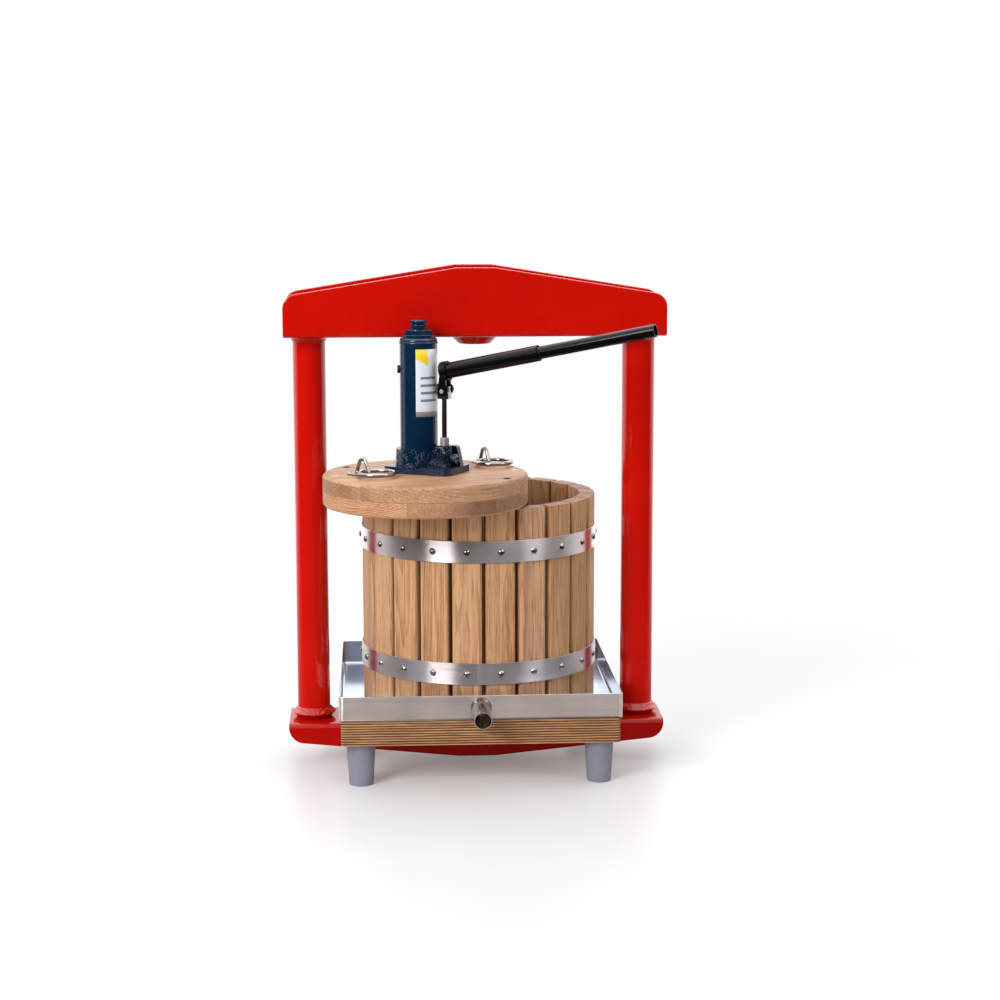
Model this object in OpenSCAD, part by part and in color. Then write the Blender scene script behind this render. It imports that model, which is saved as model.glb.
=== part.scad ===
// Hydraulic fruit press: a steel channel frame round a board with feet, a juice tray with a spout,
// a stave basket, a round press plate with lifting rings, and a bottle jack with a two-part handle.
// Lengths are millimetres, angles are degrees. +Z is up and the spout points along -Y.

/* [Frame] */
// How far the beams reach past the low welds
beam_end = 2.6; // [0.5:0.1:10]
// Depth of both beams, front to back
beam_d = 88; // [70:1:96]
// Plate thickness of the beams
beam_t = 5; // [3:0.5:6]
// Outer radius of the bends
beam_bend_r = 7; // [6.5:0.5:12]
// Length of the level stretch in the middle of a flange
beam_level_l = 44; // [20:1:80]
// Height of the upper beam in the middle
upper_beam_h = 81.3; // [70:0.1:95]
// Slope of the upper flanges
upper_fall = 9.1; // [6:0.1:10]
// Corner radius of the upper flanges
upper_corner_r = 17; // [10:0.5:24]
// Height of the lower beam in the middle
lower_beam_h = 42; // [38:0.1:48]
// Slope of the lower flanges
lower_fall = 5.7; // [4:0.1:6]
// Corner radius of the lower flanges
lower_corner_r = 19; // [14:0.5:19.5]
// Clear height between the two beams
bay_h = 461.5; // [440:0.5:520]
// Room between the tray and the uprights
upright_gap = 12.85; // [9:0.05:16]
// Outer diameter of the uprights
upright_d = 38.8; // [30:0.1:40]
// Wall of the uprights
upright_wall = 3; // [2:0.1:5]
// Size of the weld under the upper beam
top_weld = 7.5; // [5:0.1:9]
// Height of the weld on the lower beam
low_weld_h = 13; // [10:0.5:18]
// How far the low weld bulges out
low_weld_w = 7; // [5:0.1:9]
// Upper diameter of the ram seat
seat_top_d = 60; // [50:0.5:66]
// Lower diameter of the ram seat
seat_d = 39; // [34:0.5:44]
// Height of the ram seat
seat_h = 10; // [7:0.1:14]

/* [Board and feet] */
// How far the sides of the board lie inside those of the tray
board_side_inset = 2.25; // [0.5:0.05:10]
// How far the front and back of the board lie inside those of the tray
board_end_inset = 2; // [0.5:0.05:6]
// Thickness of the base board
board_t = 28.5; // [22:0.1:34]
// Corner radius of the base board
board_corner_r = 4; // [2:0.1:8]
// Height of the feet
foot_h = 50.5; // [44:0.1:70]
// Diameter of a foot at the board
foot_top_d = 34; // [28:0.1:38]
// Diameter of a foot at the floor
foot_d = 28; // [22:0.1:32]
// Distance of a foot's middle from the edges of the board
foot_inset = 22.8; // [20:0.1:30]

/* [Juice tray] */
// Room between the staves' faces and the tray's side walls
tray_side_gap = 23.25; // [19:0.05:28]
// Room between the staves' faces and the tray's front and back walls
tray_end_gap = 10; // [7:0.1:15]
// Height of the tray walls
tray_h = 30; // [29:0.5:45]
// Sheet thickness of the tray
tray_t = 1.5; // [1:0.1:2.5]
// Corner radius of the tray
tray_corner_r = 6; // [4:0.5:12]
// Radius of the bends round the tray's floor
tray_bend_r = 4; // [3:0.1:4.5]
// Outer diameter of the spout
spout_d = 20.5; // [16:0.1:21.5]
// Wall of the spout
spout_wall = 0.8; // [0.6:0.1:2]
// Length of the spout
spout_l = 44; // [25:1:60]
// Slope of the spout
spout_fall = 5; // [2:0.5:12]

/* [Basket] */
// Height of the staves
stave_h = 242.5; // [200:0.5:255]
// Radius out to the faces of the staves
stave_face_r = 139; // [125:0.5:143]
// Thickness of a stave
stave_t = 18; // [12:0.5:22]
// Number of staves
stave_count = 22; // [18:2:26]
// Gap between two staves
stave_gap = 2.8; // [1.5:0.1:5]
// Edge radius of a stave
stave_edge_r = 4; // [2:0.1:5]
// Width of a hoop
hoop_w = 25; // [18:0.5:32]
// Thickness of a hoop
hoop_t = 1.5; // [1:0.1:2.5]
// Height of the lower hoop's bottom edge above the tray floor
low_hoop_z = 38.5; // [30:0.5:60]
// Height of the upper hoop's bottom edge above the tray floor
high_hoop_z = 181; // [150:0.5:200]
// Head diameter of a hoop screw
hoop_screw_d = 8; // [6:0.1:10]
// Sideways offset of the basket on the tray
basket_x = 4; // [-4:0.5:4]

/* [Press plate] */
// Diameter of the press plate
plate_d = 238; // [210:0.5:240]
// Thickness of one layer
plate_layer_t = 18; // [14:0.5:22]
// Edge radius of the plate
plate_edge_r = 4; // [2:0.1:6]
// How far the plate's middle lies to the right of the jack
plate_side = 6.7; // [0:0.1:10]
// How far the plate's middle lies in front of the jack
plate_front = 14; // [10:0.1:18]
// Direction of the line between the screw pairs
plate_turn = -10; // [-20:1:10]
// Length of a pad eye's foot
eye_l = 42; // [40:0.5:48]
// Width of a pad eye's foot
eye_w = 16; // [12:0.5:20]
// Radius of a pad eye's bow, to the middle of the wire
eye_bow_r = 11.5; // [10:0.1:12]
// Wire diameter of the bows and the rings
ring_wire_d = 5; // [3.5:0.1:5.5]
// Outer diameter of a ring
ring_d = 47; // [42:0.5:52]

/* [Jack] */
// Sideways place of the jack
jack_x = -67.7; // [-75:0.1:-60]
// Room between the jack and the upper beam
jack_gap = 6.1; // [5.1:0.1:10]
// Direction of the pump, turned from the right towards the front
pump_turn = 28; // [15:1:40]
// Length of the jack base
base_l = 86; // [80:0.5:95]
// Width of the jack base
base_w = 62; // [58:0.5:70]
// Thickness of the foot of the jack base
base_t = 8; // [6:0.5:12]
// Diameter of the collar on the jack base
collar_d = 54; // [50:0.5:58]
// Height of the collar above the press plate
collar_h = 27; // [22:0.5:32]
// Diameter of the oil tank
tank_d = 43.8; // [40:0.1:44]
// Wall of the oil tank
tank_wall = 2.4; // [1.5:0.1:3.5]
// Height of the tank's top above the press plate
tank_top = 156; // [145:0.5:170]
// Diameter of the ram
ram_d = 21.8; // [18:0.1:23]
// Outer diameter of the pressure cylinder
cylinder_d = 28; // [27:0.1:31]
// Width across the corners of the gland nut
gland_d = 36; // [34:0.1:39]
// Height of the gland nut
gland_h = 8.5; // [6:0.1:12]
// Diameter of the extension screw's head
head_d = 19.4; // [16:0.1:22]
// Height of the extension screw's head
head_h = 11; // [8:0.1:16]
// Diameter of the extension screw's shank
screw_d = 12.9; // [10:0.1:14]
// Length of the extension screw's shank
screw_l = 58; // [40:1:70]

/* [Pump and handle] */
// Distance of the pump plunger from the tank's axis
plunger_u = 33; // [32.8:0.1:34]
// Diameter of the pump plunger
plunger_d = 6; // [5:0.1:7]
// Distance of the lever's fulcrum from the tank's axis
fulcrum_u = 27; // [26.9:0.1:27.4]
// Height of both lever pins above the press plate
pivot_z = 95; // [90:0.5:100]
// Diameter of the fulcrum pin
fulcrum_pin_d = 5; // [4:0.1:6]
// Diameter of the plunger pin
plunger_pin_d = 5; // [4:0.1:5.5]
// Slope of the handle
handle_rise = 12; // [5:0.1:12.5]
// Height of the handle's axis above the lever pins
handle_z = 22.2; // [21:0.1:24]
// Outer diameter of the lower handle tube
lower_tube_d = 18.5; // [17:0.1:19]
// Outer diameter of the upper handle tube
upper_tube_d = 14.5; // [12:0.1:15]
// Wall of the upper handle tube
upper_tube_wall = 1.5; // [1:0.1:2.5]
// Length of the lower handle tube
lower_tube_l = 123.9; // [110:0.1:150]
// Length of the upper handle tube
upper_tube_l = 183; // [150:1:200]
// How far the upper tube sits in the lower one
tube_overlap = 40; // [25:1:50]
// Length of the handle socket's sleeve
sleeve_l = 8; // [6:0.5:14]

/* [Hidden] */
$fn = 48;

// Colours
red_paint = "#c01208";
plywood = "#b98a56";
oak = "#c89a63";
steel = "#c4c4c2";
blue_paint = "#14304c";
black_paint = "#1c1b1d";
grey_plastic = "#7e7e88";
rubber = "#2c2c2e";
zinc = "#aeb2b4";

// Clearances and overruns
overrun = 1;
running_gap = 0.05;
sliding_gap = 0.1;
screw_gap = 0.1;
seat_gap = 0.3;
rest_gap = 0.05;

// Heights of the stacked pieces
lower_web_z = foot_h;
upper_web_z = foot_h + bay_h;
tray_z = foot_h + board_t;
floor_z = tray_z + tray_t;
plate_z = floor_z + stave_h + rest_gap;
jack_z = plate_z + 2 * plate_layer_t;

// Sizes in plan, from the basket outwards
tray_w = 2 * (stave_face_r + tray_side_gap + tray_t);
tray_d = 2 * (stave_face_r + tray_end_gap + tray_t);
board_w = tray_w - 2 * board_side_inset;
board_d = tray_d - 2 * board_end_inset;
upright_x = tray_w / 2 + upright_gap + upright_d / 2;
beam_l = 2 * (upright_x + upright_d / 2 + low_weld_w + beam_end);
jack_y = -(beam_d / 2 + jack_gap + tank_d / 2);
plate_x = jack_x + plate_side;
plate_y = jack_y - plate_front;

// Small sizes of the frame
seat_recess_r = 12;
seat_recess_h = 3;
weld_hollow_share = 0.35;
weld_toe_share = 0.12;
weld_bulge_share = 0.48;
bolt_x = 100;
bolt_d = 8;
bolt_head_r = 10;
bolt_head_h = 4;
nut_r = 7.5;
nut_h = 6.5;
bolt_tip = 2;
foot_recess_r = 6;
foot_recess_share = 0.45;
foot_screw_d = 4;
foot_screw_head_r = 5;
foot_screw_head_h = 3;
foot_screw_grip = 15;

// Weld fillet round the root of the spout
spout_weld_l = 4;
spout_weld_w = 2;

// Small sizes of the basket and the plate
hoop_screw_shank_r = 1.5;
hoop_screw_dome_share = 0.28;
hoop_screw_l = 12;
stave_w = 2 * PI * (stave_face_r - stave_t / 2) / stave_count - stave_gap;
hoop_r = norm([stave_face_r - stave_edge_r, stave_w / 2 - stave_edge_r]) + stave_edge_r + screw_gap;
plate_screw_r = 2;
plate_screw_head_r = 4.5;
plate_screw_head_h = 3;
plate_screw_l = 28;
plate_screw_inset = 13;
plate_screw_spread = 20;
plate_seam_r = 1;
eye_foot_t = 2;
eye_corner_r = 5;
eye_screw_inset = 3.6;
eye_screw_r = 1.4;
eye_screw_head_r = 2.6;
eye_screw_dome_share = 0.5;
cross_l_share = 0.62;
cross_w_share = 0.2;
cross_depth_share = 0.5;
eye_screw_l = 12;
left_eye_share = [-0.605, -0.168];
left_eye_turn = -43;
right_eye_share = [0.605, 0.588];
right_eye_turn = -62;
left_eye_place = plate_d / 2 * left_eye_share;
right_eye_place = plate_d / 2 * right_eye_share;
ring_lift = eye_foot_t + seat_gap + ring_wire_d / 2;
ring_mid_r = (ring_d - ring_wire_d) / 2;

// Small sizes of the jack
base_back_share = 0.385;
base_corner_r = 9;
collar_draft = 1.5;
ear_foot_u = 19;
ear_top_u = 27;
ear_h = 31;
ear_t = 8;
ear_corner_r = 4;
ear_inner_v = 9;
front_ear_u = 40;
front_ear_slant = 2;
back_ear_gap = 1.9;
back_ear_slant = 7;
tower_r = 8.5;
tower_h = 32;
cylinder_seat_h = 8;
tank_shoulder = 4;
tank_bead_r = 2.2;
tank_bead = 0.7;
tank_top_t = 4;
gland_flange_h = 3;
gland_lip = 1;
wiper_h = 2;
wiper_w = 2;
ram_bottom_z = 13;
ram_top_gap = 0.8;
ram_seal_h = 3;
ram_seal_w = 2;
ram_seal_z = 4;
head_groove_share = 0.45;
head_groove_h = 1.2;
head_groove_r = 1.6;
head_chamfer = 1.2;
filler_turn = 205;
filler_z = 119;
filler_r = 4.6;
filler_h = 2.6;
filler_shank_r = 3;
filler_shank_l = 5;
ball_r = 2.4;
pump_bore_z = 9;
valve_z = 17;
valve_r = 3.5;
valve_seat_wall = 1;
valve_knob_r = 5.5;
valve_knob_l = 6.5;
valve_slot_w = 2.4;
valve_slot_h = 3;
sleeve_nut_r = 5.8;
sleeve_nut_h = 9;
plunger_bottom_z = 20;
plunger_seal_h = 2.5;
plunger_seal_w = 1;
plunger_seal_z = 2;
eye_half_t = 4;
eye_drop = 9;
eye_slot = 1.8;
eye_wall = 2.6;
eye_lift_gap = 0.4;

// Small sizes of the lever
tab_inner_v = 4.5;
tab_t = 3.5;
tab_r = 5;
lobe_r = 6.5;
lobe_u = 2;
lobe_z = 2;
bracket_t = 4;
bracket_r = 5.5;
bracket_h = 14;
bracket_root_share = 0.7;
sleeve_u = 31;
sleeve_wall = 2.2;
pin_end = 1.2;

// Release valve: its seat beside the pump bore, and its shank out to the face of the pump tower
valve_seat_u = plunger_u + plunger_d / 2 + valve_seat_wall;
valve_shank_l = plunger_u + tower_r + seat_gap - valve_seat_u;

// Footprint: the handle's tip, the plate or the spout reaches furthest to the front
tip_s = lower_tube_l - tube_overlap + upper_tube_l;
tip_u = sleeve_u + tip_s * cos(handle_rise);
tip_dir = [cos(handle_rise) * cos(pump_turn), -cos(handle_rise) * sin(pump_turn)];
tip_front = jack_y - tip_u * sin(pump_turn) - upper_tube_d / 2 * sqrt(1 - pow(tip_dir[1], 2));
tip_right = jack_x + tip_u * cos(pump_turn) + upper_tube_d / 2 * sqrt(1 - pow(tip_dir[0], 2));
spout_front = -tray_d / 2 - spout_l * cos(spout_fall) - spout_d / 2 * sin(spout_fall);
front_y = min(tip_front, plate_y - plate_d / 2, spout_front);
back_y = max(tray_d, board_d, 2 * (hoop_r + hoop_t)) / 2;
mid_x = (max(tip_right, beam_l / 2) - beam_l / 2) / 2;
mid_y = (front_y + back_y) / 2;

function dome_r(r, h) = (r * r + h * h) / (2 * h);

// Places

module place() {
    translate([-mid_x, -mid_y, 0]) children();
}

module basket_place() {
    place() translate([basket_x, 0, floor_z]) children();
}

module plate_place() {
    place() translate([plate_x, plate_y, plate_z]) children();
}

module eye_place(spot, turn) {
    plate_place() translate([spot[0], spot[1], 2 * plate_layer_t]) rotate([0, 0, turn]) children();
}

module jack_place() {
    place() translate([jack_x, jack_y, jack_z]) rotate([0, 0, -pump_turn]) children();
}

// Along the handle: the axis is +Z of the children, from the back of the sleeve
module handle_place() {
    jack_place() translate([sleeve_u, 0, pivot_z + handle_z]) rotate([0, 90 - handle_rise, 0]) children();
}

// Across the pump: the children's X is outwards, Y is up and they grow along the pins
module lever_plane(v, t) {
    translate([0, v + t, 0]) rotate([90, 0, 0]) linear_extrude(t) children();
}

// Shared shapes

module round_rect(w, d, r) {
    square([w - 2 * r, d], center = true);
    square([w, d - 2 * r], center = true);
    for (sx = [-1, 1], sy = [-1, 1]) {
        translate([sx * (w / 2 - r), sy * (d / 2 - r)]) circle(r);
    }
}

module tube(h, r, bore_r) {
    difference() {
        cylinder(h = h, r = r);
        translate([0, 0, -overrun]) cylinder(h = h + 2 * overrun, r = bore_r);
    }
}

module dome(r, h) {
    rotate_extrude() intersection() {
        translate([0, h - dome_r(r, h)]) circle(dome_r(r, h));
        square([r, h]);
    }
}

// Dome-head screw with a cross recess: its head starts at z = 0 and its shank goes down
module dome_screw(head_r, head_h, shank_r, l) {
    cross_l = 2 * head_r * cross_l_share;
    cross_w = head_r * cross_w_share;
    floor_h = head_h * (1 - cross_depth_share);
    difference() {
        dome(head_r, head_h);
        for (turn = [0, 90]) rotate([0, 0, turn]) translate([-cross_l / 2, -cross_w / 2, floor_h])
            cube([cross_l, cross_w, head_h]);
    }
    translate([0, 0, -l]) cylinder(h = l + floor_h / 2, r = shank_r);
}

// Frame

module channel_section(h) {
    difference() {
        bent_outline(beam_d, h, beam_bend_r);
        translate([0, beam_t]) bent_outline(beam_d - 2 * beam_t, h, beam_bend_r - beam_t);
    }
}

module bent_outline(w, h, r) {
    translate([-w / 2, r]) square([w, h - r]);
    translate([r - w / 2, 0]) square([w - 2 * r, h]);
    for (s = [-1, 1]) translate([s * (w / 2 - r), r]) circle(r);
}

module flange_outline(h, fall, r) {
    xc = beam_l / 2 - r;
    zc = h - (xc - beam_level_l / 2) * tan(fall) - r / cos(fall);
    touch = [xc + r * sin(fall), zc + r * cos(fall)];
    for (s = [0, 1]) mirror([s, 0]) {
        polygon([[0, 0], [beam_l / 2, 0], [beam_l / 2, zc], [xc, zc], touch, [beam_level_l / 2, h], [0, h]]);
        translate([xc, zc]) circle(r);
    }
}

// Channel with its web at z = 0 and its flanges up
module channel(h, fall, r) {
    intersection() {
        rotate([90, 0, 90]) linear_extrude(beam_l, center = true) channel_section(h);
        rotate([90, 0, 0]) linear_extrude(beam_d, center = true) flange_outline(h, fall, r);
    }
}

module upper_beam() {
    color(red_paint) place() translate([0, 0, upper_web_z]) channel(upper_beam_h, upper_fall, upper_corner_r);
}

module lower_beam() {
    color(red_paint) place() difference() {
        translate([0, 0, lower_web_z]) rotate([180, 0, 0]) channel(lower_beam_h, lower_fall, lower_corner_r);
        bolt_holes();
    }
}

module upright(side) {
    color(red_paint) place() translate([side * upright_x, 0, lower_web_z])
        tube(bay_h, upright_d / 2, upright_d / 2 - upright_wall);
}

module left_upright() {
    upright(-1);
}

module right_upright() {
    upright(1);
}

module top_weld_outline() {
    r = upright_d / 2;
    hollow = top_weld * weld_hollow_share;
    polygon([[r, 0], [r + top_weld, 0], [r + hollow, -hollow], [r, -top_weld]]);
}

module low_weld_outline() {
    r = upright_d / 2;
    bulge = low_weld_h * weld_bulge_share;
    polygon([[r, 0], [r + low_weld_w * weld_toe_share, 0], [r + low_weld_w, bulge], [r, low_weld_h]]);
}

module upright_welds() {
    color(red_paint) place() for (side = [-1, 1]) translate([side * upright_x, 0, 0]) {
        translate([0, 0, upper_web_z]) rotate_extrude() top_weld_outline();
        translate([0, 0, lower_web_z]) rotate_extrude() low_weld_outline();
    }
}

module ram_seat() {
    color(red_paint) place() translate([0, 0, upper_web_z - seat_h]) difference() {
        cylinder(h = seat_h, r1 = seat_d / 2, r2 = seat_top_d / 2);
        translate([0, 0, -overrun]) cylinder(h = seat_recess_h + overrun, r = seat_recess_r);
    }
}

// Board and feet

module bolt_holes() {
    for (side = [-1, 1]) translate([side * bolt_x, 0, lower_web_z - beam_t - overrun]) {
        cylinder(h = beam_t + board_t + 2 * overrun, r = bolt_d / 2 + screw_gap);
    }
}

module foot_spots() {
    for (sx = [-1, 1], sy = [-1, 1]) foot_spot(sx, sy) children();
}

module foot_spot(sx, sy) {
    translate([sx * (board_w / 2 - foot_inset), sy * (board_d / 2 - foot_inset), 0]) children();
}

module base_board() {
    color(plywood) place() difference() {
        translate([0, 0, foot_h]) linear_extrude(board_t) round_rect(board_w, board_d, board_corner_r);
        bolt_holes();
        for (side = [-1, 1]) translate([side * bolt_x, 0, tray_z - bolt_head_h - screw_gap]) {
            cylinder(h = bolt_head_h + overrun, r = bolt_head_r + screw_gap);
        }
        foot_spots() translate([0, 0, foot_h - overrun]) {
            cylinder(h = foot_screw_grip + screw_gap + overrun, r = foot_screw_d / 2 + screw_gap);
        }
    }
}

module board_bolts() {
    shank_l = board_t + beam_t + nut_h + bolt_tip;
    color(zinc) place() for (side = [-1, 1]) translate([side * bolt_x, 0, tray_z - screw_gap]) {
        translate([0, 0, -bolt_head_h]) cylinder(h = bolt_head_h, r = bolt_head_r);
        translate([0, 0, -shank_l]) cylinder(h = shank_l, r = bolt_d / 2);
    }
}

module board_nuts() {
    color(zinc) place() for (side = [-1, 1]) translate([side * bolt_x, 0, lower_web_z - beam_t - nut_h]) {
        difference() {
            cylinder(h = nut_h, r = nut_r, $fn = 6);
            translate([0, 0, -overrun]) cylinder(h = nut_h + 2 * overrun, r = bolt_d / 2 + screw_gap);
        }
    }
}

module foot(sx, sy) {
    recess_h = foot_h * foot_recess_share;
    color(grey_plastic) place() foot_spot(sx, sy) difference() {
        cylinder(h = foot_h, r1 = foot_d / 2, r2 = foot_top_d / 2);
        translate([0, 0, -overrun]) cylinder(h = recess_h + overrun, r = foot_recess_r);
        translate([0, 0, -overrun]) cylinder(h = foot_h + 2 * overrun, r = foot_screw_d / 2 + screw_gap);
    }
}

module foot_front_left() {
    foot(-1, -1);
}

module foot_front_right() {
    foot(1, -1);
}

module foot_back_left() {
    foot(-1, 1);
}

module foot_back_right() {
    foot(1, 1);
}

module foot_screws() {
    head_z = foot_h * foot_recess_share;
    color(zinc) place() foot_spots() {
        translate([0, 0, head_z - foot_screw_head_h]) cylinder(h = foot_screw_head_h, r = foot_screw_head_r);
        translate([0, 0, head_z - foot_screw_head_h / 2])
            cylinder(h = foot_h - head_z + foot_screw_grip + foot_screw_head_h / 2, r = foot_screw_d / 2);
    }
}

// Juice tray

// Along the spout: the axis is +Z of the children, from the front wall outwards
module spout_place() {
    place() translate([0, -tray_d / 2, tray_z + tray_h / 2]) rotate([90 + spout_fall, 0, 0]) children();
}

// Block with bends of radius r round its bottom and corners of radius corner_r
module pan(w, d, h, corner_r, r) {
    intersection() {
        linear_extrude(h) round_rect(w, d, corner_r);
        rotate([90, 0, 0]) linear_extrude(d, center = true) bent_outline(w, h, r);
        rotate([90, 0, 90]) linear_extrude(w, center = true) bent_outline(d, h, r);
    }
}

module juice_tray() {
    bore_r = spout_d / 2 - spout_wall;
    color(steel) difference() {
        place() translate([0, 0, tray_z]) pan(tray_w, tray_d, tray_h, tray_corner_r, tray_bend_r);
        place() translate([0, 0, floor_z]) pan(tray_w - 2 * tray_t, tray_d - 2 * tray_t, tray_h,
            tray_corner_r - tray_t, tray_bend_r - tray_t);
        spout_place() translate([0, 0, -tray_t - overrun]) cylinder(h = tray_t + 2 * overrun, r = bore_r);
    }
}

module spout() {
    r = spout_d / 2;
    reach = spout_d;
    color(steel) difference() {
        spout_place() {
            translate([0, 0, -reach]) cylinder(h = spout_l + reach, r = r);
            translate([0, 0, -spout_weld_l])
                cylinder(h = 2 * spout_weld_l, r1 = r + 2 * spout_weld_w, r2 = r);
        }
        spout_place() translate([0, 0, -reach - overrun])
            cylinder(h = spout_l + reach + 2 * overrun, r = r - spout_wall);
        place() translate([-reach, -tray_d / 2, tray_z - reach])
            cube([2 * reach, 2 * reach, tray_h + 2 * reach]);
    }
}

// Basket

module round_the_basket() {
    for (i = [1:stave_count]) rotate([0, 0, (i - 1 / 2) * 360 / stave_count - 90]) children();
}

module hoop_screw_spots() {
    for (z = [low_hoop_z, high_hoop_z]) translate([0, 0, z + hoop_w / 2]) round_the_basket() {
        translate([hoop_r + hoop_t, 0, 0]) rotate([0, 90, 0]) children();
    }
}

module stave() {
    difference() {
        translate([stave_face_r - stave_t / 2, 0, 0])
            linear_extrude(stave_h) round_rect(stave_t, stave_w, stave_edge_r);
        for (z = [low_hoop_z, high_hoop_z]) {
            translate([hoop_r + hoop_t - hoop_screw_l - screw_gap, 0, z + hoop_w / 2]) rotate([0, 90, 0])
                cylinder(h = stave_t, r = hoop_screw_shank_r + screw_gap);
        }
    }
}

module staves() {
    color(oak) basket_place() round_the_basket() stave();
}

module hoop(z) {
    color(steel) basket_place() difference() {
        translate([0, 0, z]) tube(hoop_w, hoop_r + hoop_t, hoop_r);
        translate([0, 0, z + hoop_w / 2]) round_the_basket() {
            translate([hoop_r - overrun, 0, 0]) rotate([0, 90, 0])
                cylinder(h = hoop_t + 2 * overrun, r = hoop_screw_shank_r + screw_gap);
        }
    }
}

module lower_hoop() {
    hoop(low_hoop_z);
}

module upper_hoop() {
    hoop(high_hoop_z);
}

module hoop_screws() {
    head_r = hoop_screw_d / 2;
    color(steel) basket_place() hoop_screw_spots() {
        dome_screw(head_r, hoop_screw_d * hoop_screw_dome_share, hoop_screw_shank_r, hoop_screw_l);
    }
}

// Press plate

module plate_layer_outline(low_r, high_r) {
    r = plate_d / 2;
    half_t = plate_layer_t / 2;
    square([r - low_r, half_t]);
    translate([0, half_t]) square([r - high_r, half_t]);
    translate([0, low_r]) square([r, plate_layer_t - low_r - high_r]);
    translate([r - low_r, low_r]) circle(low_r);
    translate([r - high_r, plate_layer_t - high_r]) circle(high_r);
}

module plate_screw_spots() {
    for (end = [-1, 1], side = [-1, 1]) rotate([0, 0, plate_turn + side * plate_screw_spread]) {
        translate([end * (plate_d / 2 - plate_screw_inset), 0, 2 * plate_layer_t]) children();
    }
}

// Countersunk screw with its flat head at z = 0
module flat_screw(gap) {
    translate([0, 0, -plate_screw_head_h - gap])
        cylinder(h = plate_screw_head_h + gap, r1 = plate_screw_r + gap, r2 = plate_screw_head_r + gap);
    translate([0, 0, -plate_screw_l - gap]) cylinder(h = plate_screw_l, r = plate_screw_r + gap);
}

module plate_bottom_layer() {
    color(oak) plate_place() difference() {
        rotate_extrude() plate_layer_outline(plate_edge_r, plate_seam_r);
        plate_screw_spots() flat_screw(screw_gap);
    }
}

module plate_top_layer() {
    color(oak) difference() {
        plate_place() difference() {
            translate([0, 0, plate_layer_t]) rotate_extrude() plate_layer_outline(plate_seam_r, plate_edge_r);
            plate_screw_spots() flat_screw(screw_gap);
        }
        pad_eye_screw_spots() translate([0, 0, -eye_screw_l - screw_gap])
            cylinder(h = eye_screw_l + overrun, r = eye_screw_r + screw_gap);
    }
}

module plate_screws() {
    color(steel) plate_place() plate_screw_spots() translate([0, 0, -screw_gap]) flat_screw(0);
}

module pad_eye_screw_spots() {
    for (side = [-1, 1]) {
        eye_place(left_eye_place, left_eye_turn) pad_eye_screw_spot(side) children();
        eye_place(right_eye_place, right_eye_turn) pad_eye_screw_spot(side) children();
    }
}

module pad_eye_screw_spot(side) {
    translate([side * (eye_l / 2 - eye_screw_inset), 0, 0]) children();
}

module pad_eye(spot, turn) {
    color(steel) eye_place(spot, turn) {
        difference() {
            linear_extrude(eye_foot_t) round_rect(eye_l, eye_w, eye_corner_r);
            for (side = [-1, 1]) pad_eye_screw_spot(side) translate([0, 0, -overrun])
                cylinder(h = eye_foot_t + 2 * overrun, r = eye_screw_r + screw_gap);
        }
        translate([0, 0, eye_foot_t / 2]) rotate([90, 0, 0])
            rotate_extrude(angle = 180) translate([eye_bow_r, 0]) circle(ring_wire_d / 2);
    }
}

module left_pad_eye() {
    pad_eye(left_eye_place, left_eye_turn);
}

module right_pad_eye() {
    pad_eye(right_eye_place, right_eye_turn);
}

module pad_eye_screws() {
    dome_h = eye_screw_head_r * eye_screw_dome_share;
    color(steel) pad_eye_screw_spots() translate([0, 0, eye_foot_t])
        dome_screw(eye_screw_head_r, dome_h, eye_screw_r, eye_foot_t + eye_screw_l);
}

// The ring passes through the bow and lies on the plate, round the bow's outer leg
module lifting_ring(spot, turn) {
    color(steel) eye_place(spot, turn) translate([ring_mid_r, 0, ring_lift])
        rotate_extrude() translate([ring_mid_r, 0]) circle(ring_wire_d / 2);
}

module left_ring() {
    lifting_ring(left_eye_place, left_eye_turn);
}

module right_ring() {
    lifting_ring(right_eye_place, right_eye_turn);
}

// Jack

// Rib beside the release valve, with a round outer corner at its top
module ear(v, end_u, slant) {
    fall = atan2(slant, ear_h);
    corner = [end_u - ear_corner_r / cos(fall) - (ear_h - ear_corner_r) * tan(fall), ear_h - ear_corner_r];
    touch = corner + ear_corner_r * [cos(fall), sin(fall)];
    lever_plane(v, ear_t) {
        polygon([[ear_foot_u, 0], [end_u, 0], touch, corner, [corner[0], ear_h], [ear_top_u, ear_h]]);
        translate(corner) circle(ear_corner_r);
    }
}

// Along the release valve: the axis is +Z of the children, outwards
module valve_place() {
    jack_place() translate([valve_seat_u, 0, valve_z]) rotate([0, 90, 0]) children();
}

module jack_base() {
    bore_r = cylinder_d / 2 + screw_gap;
    base_mid = base_l * (1 / 2 - base_back_share);
    color(blue_paint) difference() {
        jack_place() {
            translate([base_mid, 0, 0]) linear_extrude(base_t) round_rect(base_l, base_w, base_corner_r);
            cylinder(h = collar_h, r1 = collar_d / 2 + collar_draft, r2 = collar_d / 2);
            translate([plunger_u, 0, 0]) cylinder(h = tower_h, r = tower_r);
            ear(-ear_inner_v - ear_t, front_ear_u, front_ear_slant);
            ear(ear_inner_v, base_l * (1 - base_back_share) - back_ear_gap, back_ear_slant);
        }
        jack_place() translate([0, 0, cylinder_seat_h]) cylinder(h = collar_h, r = bore_r);
        jack_place() translate([plunger_u, 0, pump_bore_z])
            cylinder(h = tower_h, r = plunger_d / 2 + running_gap);
        valve_place() cylinder(h = base_l, r = valve_r + running_gap);
    }
}

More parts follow.
